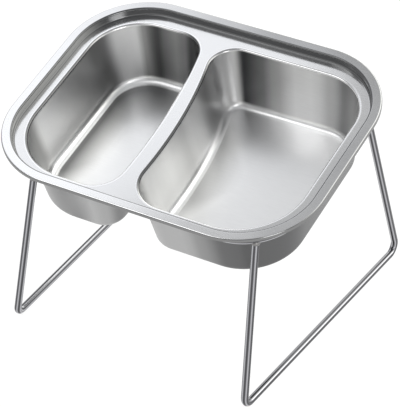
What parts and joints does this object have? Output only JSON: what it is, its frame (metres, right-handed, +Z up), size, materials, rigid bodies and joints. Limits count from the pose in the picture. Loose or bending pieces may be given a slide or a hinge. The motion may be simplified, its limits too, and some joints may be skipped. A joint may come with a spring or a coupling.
{
  "type": "double pet bowl",
  "caption": "Tilted stainless double pet bowl: a pressed tray with a small and a large drawn bowl that lifts out of a wire stand on U-shaped legs.",
  "frame": {"origin": "on the floor, under the middle of the part's bounding box (within 0.3 mm)", "axes": "+X to the right along the tray's long side, with the large bowl on the right; +Y from the low front, where the animal stands, to the raised back; +Z up"},
  "size_m": [0.3, 0.2766, 0.2256],
  "materials": {
    "satin_sheet": "satin brushed stainless sheet",
    "polished_wire": "polished round stainless wire",
    "weld": "cleaned weld bead, slightly duller than the wire"
  },
  "bodies": {
    "stand": {"seat_ring": "polished_wire", "left_leg": "polished_wire", "right_leg": "polished_wire", "leg_welds": "weld", "ring_weld": "weld"},
    "tray": {"tray_frame": "satin_sheet", "small_bowl": "satin_sheet", "large_bowl": "satin_sheet"}
  },
  "joints": [
    {"name": "tray_lift", "type": "slide", "parent": "stand", "child": "tray", "axis": [0, -0.2504, 0.9681], "range_m": [0, 0.08]}
  ]
}
